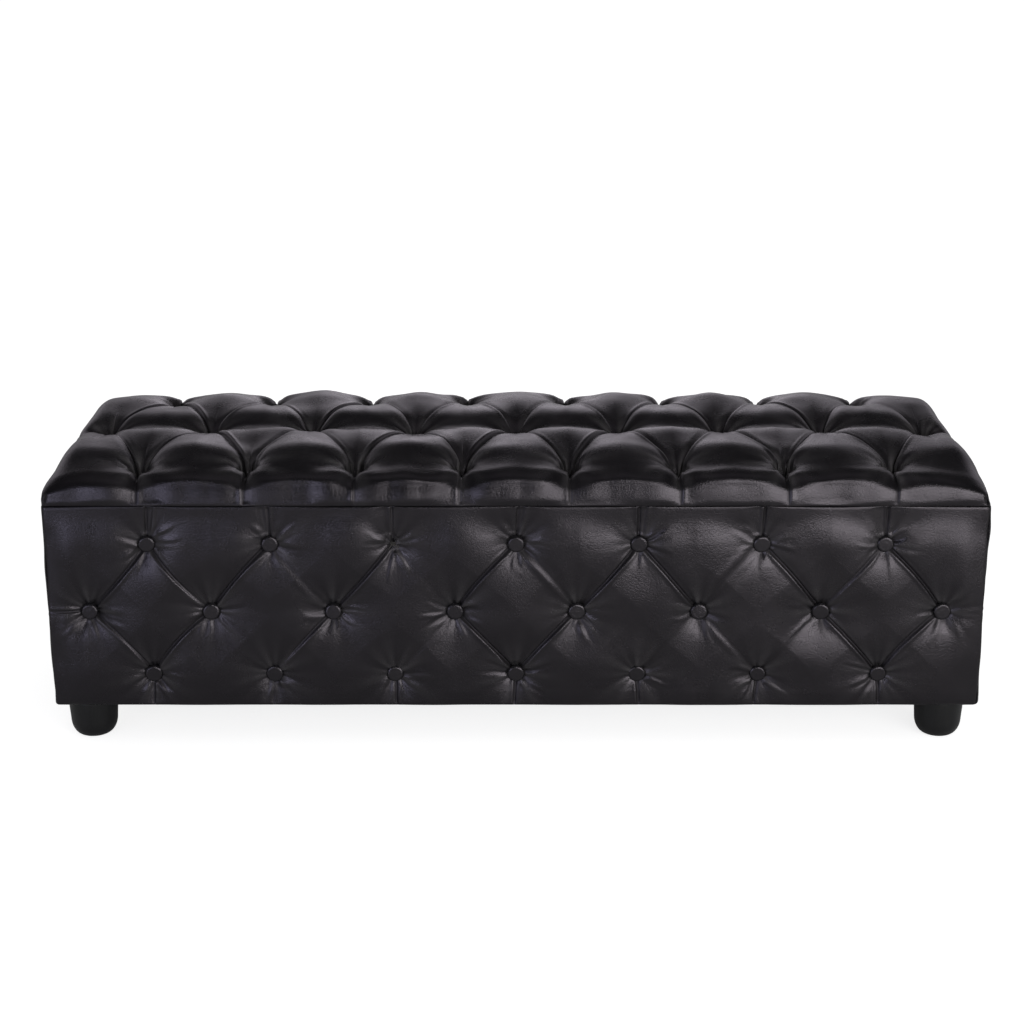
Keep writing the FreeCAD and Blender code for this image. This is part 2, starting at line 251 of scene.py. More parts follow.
def press_fold(sheet, start, end, deep, lip, wide, bow=0.0, lean=1, fade=(1, 1, 1), valley=0.0):
    """Presses a fold along a bowed line: a slit, a lip rolled on one side, a wide valley, and painted shade
    in the slit.
    """
    form, fold_shade, u, v = sheet
    du, dv = end[0] - start[0], end[1] - start[1]
    run = math.hypot(du, dv)
    along = ((u - start[0]) * du + (v - start[1]) * dv) / run**2
    off = ((u - start[0]) * dv - (v - start[1]) * du) / run - bow * 4 * along * (1 - along)
    near = (np.abs(off) < fold_reach) & (along > -fold_overrun) & (along < 1 + fold_overrun)
    s, h = along[near], off[near]
    held = np.interp(s, (0.0, 0.5, 1.0), fade) * ease(-fold_overrun, fold_overrun, s)
    held = held * ease(-fold_overrun, fold_overrun, 1 - s)
    slit = np.exp(-((h / wide) ** 2))
    roll = np.exp(-(((h * lean - 2.6 * wide) / (1.6 * wide)) ** 2))
    tuck = np.exp(-(((h * lean + 3.0 * wide) / (2.4 * wide)) ** 2))
    raised = lip * roll - 0.4 * lip * tuck - deep * slit
    form[near] += held * (raised - valley * np.exp(-((h / valley_wide) ** 2)))
    # The slit is also painted in shade, more for deeper folds: painted shade, kept in a mask for the
    # leather.
    fold_shade[near] = np.maximum(fold_shade[near], held * slit * min(1.0, deep / full_shade_deep))


def press_gathers(sheet, centre, draw, count, reach, deep, inner=11.0):
    """Short soft folds that run out from a button, where the leather is drawn together."""
    for _ in range(count):
        turn = draw.uniform(0, 2 * np.pi)
        way = (math.cos(turn), math.sin(turn))
        far = inner + reach * draw.uniform(0.35, 1.0)
        start = [c + inner * d for c, d in zip(centre, way)]
        end = [c + far * d for c, d in zip(centre, way)]
        pull = deep * draw.uniform(0.3, 1.0)
        wide, bow, lean = draw.uniform(1.6, 3.2), draw.uniform(-4.0, 4.0), draw.choice((-1, 1))
        press_fold(sheet, start, end, 0.6 * pull, 0.8 * pull, wide, bow, lean, (1.0, 0.65, 0.0))


def rub_and_sheen_marks(u, v, places, seed, start=12.0, fade=22.0):
    """Pale streaks that fan out from each tuft: partly worn by rubbing, partly painted sheen."""
    draw = np.random.default_rng(seed)
    marks = np.zeros_like(u)
    for place in places:
        reach = np.hypot(u - place[0], v - place[1])
        turn = np.arctan2(v - place[1], u - place[0])
        fan = np.cos(turn * draw.integers(5, 9) + draw.uniform(0, 6)) + np.cos(turn * draw.integers(10, 16))
        streak = np.exp(-np.maximum(reach - start, 0.0) / fade) * np.clip(0.55 + 0.4 * fan, 0.1, 1.3)
        marks = np.maximum(marks, streak)
    return marks


print("helpers: wander, close_steps, ease, press_fold, press_gathers, rub_and_sheen_marks")


# %% Points to mesh
def numbered(rows, columns):
    """The numbers of a grid's points, row by row."""
    return np.arange(rows * columns).reshape(rows, columns)


def quads(index, flip=False):
    """A face on each cell of a grid of point numbers, turned over when flipped."""
    corners = [index[:-1, :-1], index[1:, :-1], index[1:, 1:], index[:-1, 1:]]
    if flip:
        corners[1], corners[3] = corners[3], corners[1]
    return np.stack(corners, axis=-1).reshape(-1, 4).tolist()


def turned(profile, sides, rim=1.0):
    """Points and faces of a profile of radius and height turned about an axis, closed at both ends."""
    turns = np.arange(sides) * 2 * np.pi / sides
    radius, height = np.array(profile).T[:, :, None]
    circle = (radius * rim * np.cos(turns), radius * rim * np.sin(turns))
    points = np.stack([*circle, height * np.ones(sides)], axis=-1)
    index = numbered(len(profile), sides)
    caps = [index[-1].tolist(), index[0, ::-1].tolist()]
    return points.reshape(-1, 3), quads(np.hstack([index, index[:, :1]]), flip=True) + caps


def joined(pieces):
    """Several sets of points and faces as one."""
    starts = np.cumsum([0] + [len(points) for points, _ in pieces])
    faces = [[int(i + start) for i in face] for start, (_, those) in zip(starts, pieces) for face in those]
    return np.concatenate([points for points, _ in pieces]), faces


def make_piece(name, points, faces, smooth_count=None):
    """A mesh object from points in millimetres, on the bench's one body. Faces past the count are flat."""
    mesh = bpy.data.meshes.new(name)
    mesh.from_pydata((np.asarray(points).reshape(-1, 3) * MM).tolist(), [], faces)
    mesh.shade_smooth()
    if smooth_count is not None:
        for face in mesh.polygons[smooth_count:]:
            face.use_smooth = False
            for corner in face.loop_indices:
                mesh.edges[mesh.loops[corner].edge_index].use_edge_sharp = True
    piece = bpy.data.objects.new(name, mesh)
    scene.collection.objects.link(piece)
    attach(piece, "root")
    return piece


def store_mask(piece, name, values):
    """Keeps one number per point on the mesh, for its material to read."""
    mask = piece.data.attributes.new(name, "FLOAT", "POINT")
    mask.data.foreach_set("value", np.ascontiguousarray(values, dtype=np.float32).ravel())


def face_normals(points):
    """Outward direction at each point of a grid, from its neighbours."""
    normal = np.cross(np.gradient(points, axis=0), np.gradient(points, axis=1))
    length = np.linalg.norm(normal, axis=-1, keepdims=True)
    return normal / np.maximum(length, 1e-9)


print("helpers: numbered, quads, turned, joined, make_piece, store_mask, face_normals")

# %% [markdown]
# ## Sizes of the bench
# These are the sizes of the frame, in millimetres. The tufts stand on the same places as in the CAD
# model: three rows on the top and on each side, with the middle row half a step along.

# %% Sizes
half_x, half_y, seam_z, under_z = 700.0, 240.0, 379.0, 62.0
top_count, top_step, top_row = 8, 80.0, 180.0
top_seat, top_crown = 20.0, 68.0
side_half, side_middle = (seam_z - under_z) / 2, (seam_z + under_z) / 2
side_row, side_sag, side_pad, side_seat, side_margin = 103.0, 7.5, 12.0, 3.0, 62.0
front_count, end_count = 7, 2


def tuft_places(count, pitch, row, sag=0.0):
    """Tufts row by row, from the upper or far row to the lower or near one. Rows of a side sag a little."""
    outer = [(i - (count - 1) / 2) * pitch for i in range(count)]
    middle = [(i - count / 2) * pitch for i in range(count + 1)]
    drop = sag * (1 - (row / side_half) ** 2)
    return [(u, row - drop) for u in outer], [(u, -sag) for u in middle], [(u, -row - drop) for u in outer]


top_rows = tuft_places(top_count, 2 * top_step, top_row)
front_rows = tuft_places(front_count, 2 * (half_x - side_margin) / front_count, side_row, side_sag)
end_rows = tuft_places(end_count, 2 * (half_y - side_margin) / end_count, side_row, side_sag)
top_tufts, front_tufts, end_tufts = (sum(rows, []) for rows in (top_rows, front_rows, end_rows))
print("tufts:", len(top_tufts), len(front_tufts), len(end_tufts))

# %% [markdown]
# ## Leather under pressure
# The padding presses the leather outwards, and the buttons and pleats hold it back. Blender's cloth
# solver works that out: a coarse sheet of each panel is held at its tufts and round its rim, cut a little
# larger than its frame, and blown out for twenty frames without gravity. Only how far each point moved is
# kept, up to a limit, and added to the fine grid, so the folds that are pressed there stay crisp.

# %% Cloth pass
cloth_frames, cloth_blurs = 20, 2
cloth_settings = {
    "vertex_group_mass": "held",
    "quality": 5,
    "mass": 0.2,
    "bending_stiffness": 0.4,
    "shrink_min": -0.03,
    "use_pressure": True,
    "uniform_pressure_force": 4.0,
}


def swell(name, us, vs, held, limit):
    """How far the pressed-out leather moves at each point of a coarse grid, in millimetres."""
    u, v = np.meshgrid(us, vs, indexing="ij")
    start = np.stack([u, v, np.zeros_like(u)], axis=-1).reshape(-1, 3) * MM
    sheet = bpy.data.meshes.new(name)
    sheet.from_pydata(start.tolist(), [], quads(numbered(len(us), len(vs))))
    cloth = bpy.data.objects.new(name, sheet)
    scene.collection.objects.link(cloth)
    cloth.vertex_groups.new(name="held").add(np.flatnonzero(held.ravel()).tolist(), 1.0, "REPLACE")
    press = cloth.modifiers.new("press", "CLOTH")
    for key, value in cloth_settings.items():
        setattr(press.settings, key, value)
    press.settings.effector_weights.gravity = 0.0
    press.point_cache.frame_start, press.point_cache.frame_end = 1, cloth_frames
    for step in range(1, cloth_frames + 1):
        scene.frame_set(step)
    blown = cloth.evaluated_get(bpy.context.evaluated_depsgraph_get()).data
    spot = np.empty(len(blown.vertices) * 3)
    blown.vertices.foreach_get("co", spot)
    moved = (spot.reshape(-1, 3) - start)[:, 2].reshape(held.shape) / MM
    bpy.data.objects.remove(cloth)
    scene.frame_set(1)
    moved *= np.sign(moved.sum())
    print("cloth:", name, "moved", round(float(moved.min()), 1), "to", round(float(moved.max()), 1), "mm")
    moved = limit * np.tanh(moved / limit)
    for _ in range(cloth_blurs):
        p = np.pad(moved, 1, mode="edge")
        moved = (p[:-2, 1:-1] + p[2:, 1:-1] + p[1:-1, :-2] + p[1:-1, 2:] + 4 * p[1:-1, 1:-1]) / 8
    return moved


def on_grid(us, vs, values, u, v):
    """Values of a coarse grid at the points of a fine one."""
    i = np.clip(np.searchsorted(us, u) - 1, 0, len(us) - 2)
    j = np.clip(np.searchsorted(vs, v) - 1, 0, len(vs) - 2)
    a = np.clip((u - us[i]) / (us[i + 1] - us[i]), 0.0, 1.0)
    b = np.clip((v - vs[j]) / (vs[j + 1] - vs[j]), 0.0, 1.0)
    near = values[i, j] * (1 - b) + values[i, j + 1] * b
    far = values[i + 1, j] * (1 - b) + values[i + 1, j + 1] * b
    return near * (1 - a) + far * a


def blown_out(name, u, v, half, count, rim, tufts, seat, limit):
    """The swelling of a panel held round its rim and at its tufts, at the points of its fine grid."""
    us, vs = (np.linspace(-h, h, c) for h, c in zip(half, count))
    coarse_u, coarse_v = np.meshgrid(us, vs, indexing="ij")
    held = (np.abs(coarse_u) > half[0] - rim[0]) | (np.abs(coarse_v) > half[1] - rim[1])
    for place in tufts:
        held |= np.hypot(coarse_u - place[0], coarse_v - place[1]) < seat
    return on_grid(us, vs, swell(name, us, vs, held, limit), u, v)


print("helpers: swell, on_grid, blown_out")

# %% [markdown]
# ## The tufted top
# On the real bench the leather is cut larger than the top, then pulled down at each button, and the spare
# leather is folded into pleats that run from button to button. So the top is a row of pillows with sharp
# valleys between them. The grid is laid so that its lines follow those valleys: then a fold stays crisp
# without needing a huge mesh. Across each station the leather rises from the skirt to a crown, falls to a
# pleat and rises again. The front edge has been sat on, so it slopes down to a skirt that stands highest
# half way between two buttons.

# %% Heights along the top
top_wall, top_pleat, top_border, rear_border = 32.0, 58.5, 41.0, 49.0
wall_low, wall_rise, wall_end_drop = 22.0, 16.0, 6.0
tuft_steps, end_steps = 22, 20
last_tuft = top_count * top_step
end_run = half_x - last_tuft


def arch(s, power):
    """A quarter round: 0 at 0, level from 1 on."""
    return (1 - (1 - np.clip(s, 0.0, 1.0)) ** 2) ** power


def top_stations():
    """Places along the top, closer together near the tufts and the ends."""
    steps = top_step * close_steps(tuft_steps, 0.45)[:-1]
    inner = [k * top_step + steps for k in range(-top_count, top_count)]
    outer = last_tuft + end_run * close_steps(end_steps, 0.4)
    return np.concatenate([-outer[::-1], np.concatenate(inner)[1:], outer])


station = top_stations()[:, None]
past = np.clip((np.abs(station) - last_tuft) / end_run, 0.0, 1.0)
share = np.where(past > 0, 1.0, np.abs(1 - np.mod(np.abs(station) / top_step, 2)))
valley_y = top_row * (1 - share)
pleat_w = top_seat + (top_pleat - top_seat) * (4 * share * (1 - share)) ** 0.8
end_w = top_seat + (top_border - top_seat) * arch(past * 1.4, 0.6)
valley_w = np.where(past > 0, end_w, pleat_w)
wall_w = wall_low + wall_rise * arch(share, 0.9) - wall_end_drop * ease(0.0, 1.0, past)
print("stations along the top:", len(station))

# %% The grid across the top
seam_tuck, tuck_height, edge_steps, middle_lines = 1.6, 4.0, 46, 41
skirt = np.array([0.0, 1.2, 2.8, 5.0, 8.0, 11.0, 14.0, 17.0, 20.0, 23.0, 26.0, 29.0])[None, :]
tucked = (tuck_height - np.minimum(skirt, tuck_height)) / tuck_height
skirt_in = seam_tuck * (1 - np.sqrt(np.clip(1 - tucked**2, 0, 1)))
skirt_w = skirt * wall_w / top_wall
skirt_y = (half_y - skirt_in) * np.ones_like(station)
out_y = half_y + (valley_y - half_y) * close_steps(edge_steps, 0.4)[None, :]
mid_s = 0.5 * (1 - np.cos(np.pi / 2 * np.linspace(0, 1, middle_lines)))[None, 1:]
mid_y = valley_y * (1 - 2 * mid_s)
field_y = np.concatenate([out_y, mid_y], axis=1)
half_lines = np.concatenate([skirt_y, field_y], axis=1)
top_y = np.concatenate([-half_lines, half_lines[:, -2::-1]], axis=1)
top_x = station * np.ones_like(top_y)
print("grid of the top:", top_x.shape)

# %% Heights across the top
pit_reach, pit_over, pit_blend, edge_round, end_round = 90.0, 3.0, 8.0, 30.0, 40.0
near_reach, more_reach = 14.0, 34.0
row_dip, dip_wide, edge_sink = 15.0, 36.0, 4.0
worn_run, sink_run = (136.0, 212.0), (150.0, 230.0)
middle_steep, middle_dome = 0.3, 160.0
nearest = np.full_like(field_y, 1e3)
for u, v in top_rows[0] + top_rows[1]:
    nearest = np.minimum(nearest, np.hypot(station - u, field_y - v))
over_edge = arch((half_y - field_y) / edge_round, 0.58) * arch((half_x - np.abs(station)) / end_round, 0.6)


def lower_of(one, two, blend):
    """The lower of two levels, with a soft step where they meet."""
    part = np.clip(0.5 + 0.5 * (two - one) / blend, 0.0, 1.0)
    return two + (one - two) * part - blend * part * (1 - part)


def pillow(rise_w, off, steep, dome):
    """Height at a distance from the valley: a steep start, then a slow dome of the given reach."""
    reach = near_reach + more_reach * np.clip((rise_w - valley_w) / (top_crown - top_seat), 0, 1)
    swollen = steep * arch(off / reach, 0.55) + (1 - steep) * arch(off / dome, 1.0)
    return valley_w + (rise_w - valley_w) * swollen


def half_top(steep, dome, worn, low, bow):
    """Heights from the edge to the middle. The edge bows up from low at the tufts and is worn between."""
    border = pillow(low + (top_crown - low) * arch(share, bow), out_y - valley_y, steep, dome)
    middle = pillow(top_crown, valley_y - mid_y, middle_steep, middle_dome)
    pit = top_seat + (top_crown + pit_over - top_seat) * arch(nearest / pit_reach, 0.6)
    rise = lower_of(np.concatenate([border, middle], axis=1), pit, pit_blend)
    wear = worn * ease(*worn_run, field_y) + edge_sink * ease(*sink_run, field_y)
    rise = rise - wear * arch(share * 1.3, 1.0)
    rise = rise - row_dip * np.exp(-((field_y / dip_wide) ** 2)) * arch(1 - share, 0.7)
    rise = np.where(rise > wall_w, wall_w + (rise - wall_w) * over_edge, rise)
    return np.concatenate([skirt_w, rise], axis=1)


front_half = half_top(steep=0.42, dome=168.0, worn=14.0, low=top_border, bow=0.8)
rear_half = half_top(steep=middle_steep, dome=middle_dome, worn=8.0, low=rear_border, bow=1.0)
top_w = np.concatenate([front_half, rear_half[:, -2::-1]], axis=1)
print("heights of the top:", round(float(top_w.min()), 1), "to", round(float(top_w.max()), 1), "mm")

# %% End skirts and seats
seat_run, drawn_run, lean_run = (7.0, 20.0), (200.0, 236.0), (190.0, 238.0)
corner_x, corner_y, front_corner, rear_corner = 85.0, 105.0, 0.5, 0.38
skirt_lean, right_lean, left_lean = 5.6, 0.34, 0.25


def end_skirt(end):
    """Places and heights of the skirt under one end of the grid, from the edge down to the seam."""
    down, inset = skirt[0, ::-1, None], skirt_in[0, ::-1, None]
    ends_x, ends_y = np.sign(top_x[end]) * (half_x - inset), top_y[end] * np.ones_like(down)
    return ends_x, ends_y, top_w[end] * down / top_wall


parts = list(zip(end_skirt(0), (top_x, top_y, top_w), end_skirt(-1)))
top_x, top_y, top_w = (np.vstack([first[::-1], grid, last]) for first, grid, last in parts)
for u, v in top_tufts:
    top_w = top_seat + (top_w - top_seat) * ease(*seat_run, np.hypot(top_x - u, top_y - v))
at_corner = np.exp(-(half_x - np.abs(top_x)) / corner_x) * np.exp(-(half_y - np.abs(top_y)) / corner_y)
top_w = top_w * (1 - np.where(top_y < 0, front_corner, rear_corner) * at_corner)
draw = np.random.default_rng(17)
for u, v in top_rows[0] + top_rows[2]:
    pull, reach = draw.uniform(3.0, 5.5), draw.uniform(14.0, 24.0)
    drawn = pull * np.exp(-np.abs((top_x - u) / reach) ** 1.5) * ease(*drawn_run, np.abs(top_y))
    drawn = drawn * np.sign(v * top_y).clip(0)
    top_y = top_y - np.sign(top_y) * drawn * np.clip(top_w / top_wall, 0.0, 1.0)
lean_in = skirt_lean * np.clip(top_w / top_wall, 0.0, 1.0) ** 2 * ease(*lean_run, np.abs(top_y))
top_y = top_y - np.sign(top_y) * lean_in
past_last = np.clip((np.abs(top_x) - last_tuft) / end_run, 0.0, 1.0)
top_x = top_x - np.sign(top_x) * np.where(top_x > 0, right_lean, left_lean) * top_w * past_last**2
print("grid with end skirts:", top_x.shape)

# %% Pleats, gathers and wrinkles of the top
# Each fold is given by its depth, its lip and its width.
inner_pleat, border_pleat, end_pleat = (2.0, 2.2, 1.7), (2.6, 1.8, 1.7), (2.4, 1.6, 1.7)
wrinkle, wrinkles_each, past_edge = (0.3, 0.5, 2.0), 3, 4.0
draw = np.random.default_rng(11)
# The second grid holds the painted shade that each fold lays in its slit.
top_form, top_fold_shade = np.zeros_like(top_x), np.zeros_like(top_x)
top_sheet = (top_form, top_fold_shade, top_x, top_y)
far_row, middle_row, near_row = top_rows
for place in near_row + far_row:
    for side in (-1, 1):
        target = (place[0] + side * top_step, 0.0)
        bow, lean, fade = draw.uniform(-4, 4), draw.choice((-1, 1)), draw.uniform(0.6, 1.0, 3)
        press_fold(top_sheet, place, target, *inner_pleat, bow, lean, fade)
    edge = (place[0] + draw.uniform(-3, 3), math.copysign(half_y + past_edge, place[1]))
    bow, lean, fade = draw.uniform(-2, 2), draw.choice((-1, 1)), draw.uniform(0.7, 1.0, 3)
    press_fold(top_sheet, place, edge, *border_pleat, bow, lean, fade, valley=1.0)
for side in (-1, 1):
    edge = (side * (half_x + past_edge), 0.0)
    press_fold(top_sheet, (side * last_tuft, 0.0), edge, *end_pleat, valley=1.0)
for one, two in zip(middle_row, middle_row[1:]):
    for _ in range(wrinkles_each):
        line_y = draw.uniform(-6, 30)
        start = (one[0] + draw.uniform(24, 60), line_y)
        end = (two[0] - draw.uniform(24, 60), line_y + draw.uniform(-5, 5))
        press_fold(top_sheet, start, end, *wrinkle, draw.uniform(-3, 5), fade=(0.2, 1.0, 0.2))
for place in top_tufts:
    press_gathers(top_sheet, place, draw, count=9, reach=42.0, deep=1.6, inner=13.0)
print("deepest fold of the top:", round(float(top_form.min()), 1), "mm")

# %% Swelling and slack of the top
wave_run, wave_rise = (225.0, 239.0), (2.0, 12.0)
# Pale streaks round the tufts, partly wear and partly painted sheen. They also raise the leather a little.
top_fan = rub_and_sheen_marks(top_x, top_y, top_tufts, 12)
top_form += 1.3 * top_fan
plan, count, rim = (half_x, half_y), (118, 41), (8, 8)
top_form += blown_out("top_leather", top_x, top_y, plan, count, rim, top_tufts, seat=18, limit=4.0)
skirt_wave = 0.8 * wander(top_x, top_y, 110.0, 25) + 0.25 * wander(top_x, top_w, 44.0, 26)
top_form += skirt_wave * ease(*wave_run, np.abs(top_y)) * ease(*wave_rise, top_w)
top_form += 1.2 * wander(top_x, top_y, 150.0, 21) + 0.25 * wander(top_x, top_y, 60.0, 22)
print("leather of the top stands out by", round(float(top_form.max()), 1), "mm at most")


# %% The top cover
def round_corners(u, v, half_u, half_v, radius):
    """Moves what lies past a rounded corner of the plan onto it."""
    du = np.abs(u) - (half_u - radius)
    dv = np.abs(v) - (half_v - radius)
    far = np.hypot(du, dv)
    pull = np.where((du > 0) & (dv > 0) & (far > radius), radius / np.maximum(far, 1e-6), 1.0)
    u_new = np.where(pull < 1, np.sign(u) * (half_u - radius + du * pull), u)
    v_new = np.where(pull < 1, np.sign(v) * (half_v - radius + dv * pull), v)
    return u_new, v_new


plan_x, plan_y = round_corners(top_x, top_y, half_x, half_y, 12.0 + 0.6 * top_w)
top_points = np.stack([plan_x, plan_y, seam_z + top_w], axis=-1)
settle = ease(0.5, 8.0, top_w)[..., None]
top_points = top_points + face_normals(top_points) * top_form[..., None] * settle
index = numbered(*top_x.shape)
faces = quads(index)
rim = np.concatenate([index[0, :], index[1:, -1], index[-1, -2::-1], index[-2:0:-1, 0]])
top_cover = make_piece("tufted_top", top_points, faces + [rim.tolist()], len(faces))
# The painted shade of the folds and the pale streaks of wear and painted sheen are kept on the mesh for the
# leather.
store_mask(top_cover, "crease", top_fold_shade)
store_mask(top_cover, "rubbed", top_fan)
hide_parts("top_cover", "seat_foam")
print("top cover:", len(top_cover.data.vertices), "points")

# %% [markdown]
# ## The padded sides
# Each side is a leather panel over thin padding. Its buttons are drawn in only a little, so it is nearly
# flat, with a dimple round each button and thin pleats between them. On the real bench no two pleats are
# alike: some are sharp double folds and some have faded into the padding, so each pleat of the front has
# its own strength. The section of a panel is a closed loop: down the face, round the lower edge, under
# the base and up the back.

# %% The path down a side
hem_in, hem_turn, hem_thick, back_in, corner_r, edge_in = 40.0, 27.0, 1.3, 12.0, 8.0, 6.0
# Half length, distance out from the middle and turn of each side.
panels = {
    "front": (half_x, half_y, 0),
    "rear": (half_x, half_y, 180),
    "right": (half_y, half_x, 90),
    "left": (half_y, half_x, 270),
}


def side_path(step):
    """Inset, height and how much of the padding's form shows, from the seam round to the back."""
    high, low = seam_z - 5.0, under_z + 6.0
    path = [(edge_in, seam_z, 0.0), (2.4, seam_z - 0.1, 0.1), (1.1, seam_z - 0.5, 0.3)]
    path += [(0.5, seam_z - 1.3, 0.55), (0.15, seam_z - 2.8, 0.8)]
    path += [(0.0, z, 1.0) for z in np.linspace(high, low, int((high - low) / step))]
    path += [(0.2, low - 2.0, 0.85), (0.8, low - 3.7, 0.6), (1.9, low - 4.9, 0.35), (3.8, low - 5.7, 0.1)]
    path += [(edge_in, under_z + 0.05, 0.0), (14.0, under_z, 0.0), (hem_turn, under_z, 0.0)]
    hem_top = under_z + hem_thick
    path += [(hem_in, under_z, 0.0), (hem_in, hem_top, 0.0), (hem_turn, hem_top, 0.0)]
    path += [(back_in, z, 0.0) for z in (under_z + 1.4, 140.0, 220.0, 300.0, seam_z - 0.1)]
    return np.array(path)


def side_run(half, step):
    """Places along a side and their turn at the rounded corners."""
    flat = half - corner_r
    run = np.linspace(-flat, flat, int(2 * flat / step))
    bend = np.radians(np.array([9.0, 18.0, 27.0, 36.0, 45.0]))
    turn = np.concatenate([-bend[::-1], np.zeros_like(run), bend])
    along = np.concatenate([np.full(len(bend), -flat), run, np.full(len(bend), flat)])
    return along, turn


def turned_out(u, out, z, turn_z):
    """Points of a side in the bench's own axes, from how far they lie along it and out of it."""
    spin = math.radians(turn_z)
    world_x = u * math.cos(spin) + out * math.sin(spin)
    world_y = u * math.sin(spin) - out * math.cos(spin)
    return np.stack([world_x, world_y, z], axis=-1)


print("points down the path of a side:", len(side_path(2.2)))

# %% Padding and folds of a side
dent_start, dent_fade, side_full, most_proud = 10.0, (28.0, 38.0), 2.0, 9.0
full_run, blown_run, flat_run, slack_run = (0.0, 70.0), (0.0, 60.0), (0.0, 36.0), (0.0, 45.0)
full_end_run, blown_end_run = (0.0, 55.0), (0.0, 40.0)


def side_form(name, u, v, below_seam, tufts, pleats, seed):
    """How far a side's leather stands out, the painted shade of its folds, and its pale streaks of wear and
    painted sheen.
    """
    form, fold_shade, dent = np.zeros_like(u), np.zeros_like(u), np.zeros_like(u)
    sheet = (form, fold_shade, u, v)
    half = panels[name][0]
    from_end = half - np.abs(u)
    draw = np.random.default_rng(seed)
    for place in tufts:
        reach = np.maximum(np.hypot(u - place[0], v - place[1]) - dent_start, 0.0)
        dent = np.maximum(dent, np.exp(-reach / draw.uniform(*dent_fade)))
        press_gathers(sheet, place, draw, count=12, reach=52.0, deep=1.6)
    full = side_full * ease(*full_run, below_seam)
    form += (full - (side_pad - side_seat + full) * dent) * ease(*full_end_run, from_end)
    size, count = (half, side_half), (int(half / 6) + 1, 28)
    blown = blown_out(f"{name}_leather", u, v, size, count, (8, 6), tufts, seat=15, limit=4.5)
    form += blown * ease(*blown_end_run, from_end) * ease(*blown_run, below_seam)
    form *= 0.3 + 0.7 * ease(*flat_run, below_seam)
    # Pale streaks round the buttons, partly wear and partly painted sheen. They also raise the leather a
    # little.
    fan = rub_and_sheen_marks(u, v, tufts, seed + 3)
    form += 0.8 * fan
    for pleat in pleats:
        press_fold(sheet, *pleat)
    slack = 1.2 * wander(u, v, 160.0, seed + 1) + 0.4 * wander(u, v, 70.0, seed + 2)
    form += slack * (0.2 + 0.8 * ease(*slack_run, below_seam))
    return form, fold_shade, fan


def padded_side(name, step, tufts, pleats, seed):
    """One padded side, made on a grid along it and down its path and closed at both ends."""
    half, out, turn_z = panels[name]
    inset, height, shown = side_path(step).T[:, :, None]
    along, turn = side_run(half, step)
    base_u = along + corner_r * np.sin(turn)
    base_out = out - corner_r + corner_r * np.cos(turn)
    u = base_u * np.ones_like(height)
    v = (height - side_middle) * np.ones_like(u)
    form, fold_shade, fan = side_form(name, u, v, seam_z - height, tufts, pleats, seed)
    ripple = 0.35 * np.sin(u / 31.0) * np.sin(u / 83.0 + seed) * ease(seam_z - 16, seam_z, height)
    move = form * shown - np.minimum(inset, edge_in)
    side_u = np.clip(base_u + np.sin(turn) * move, -(half - inset), half - inset)
    limit = np.where(inset > edge_in, out - inset, out + most_proud)
    side_out = np.minimum(base_out + np.cos(turn) * move, limit)
    points = turned_out(side_u, side_out, height + ripple, turn_z)
    index = numbered(*u.shape)
    faces = quads(np.vstack([index, index[:1]]))
    ends = [index[::-1, 0].tolist(), index[:, -1].tolist()]
    piece = make_piece(f"padded_{name}", points, faces + ends, len(faces))
    # The painted shade of the folds and the pale streaks of wear and painted sheen are kept on the mesh for
    # the leather.
    store_mask(piece, "crease", fold_shade * shown)
    store_mask(piece, "rubbed", 0.45 * fan * shown)
    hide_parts(f"{name}_cover", f"{name}_foam")
    print("side:", name, len(piece.data.vertices), "points")
    return piece


print("helpers: side_form, padded_side")

# %% Pleats of the front, as they lie
upper, centre, lower = front_rows
past_rim, sharp_from, sharper = 160.0, 1.5, 1.7


def pleat(start, end, deep, lip, bow=0.0, lean=1, fade=(1, 1, 1), wide=1.7, valley=1.2):
    """A pleat as press_fold takes it. The sharp ones are pressed deeper."""
    return (start, end, sharper * deep if deep > sharp_from else deep, lip, wide, bow, lean, fade, valley)


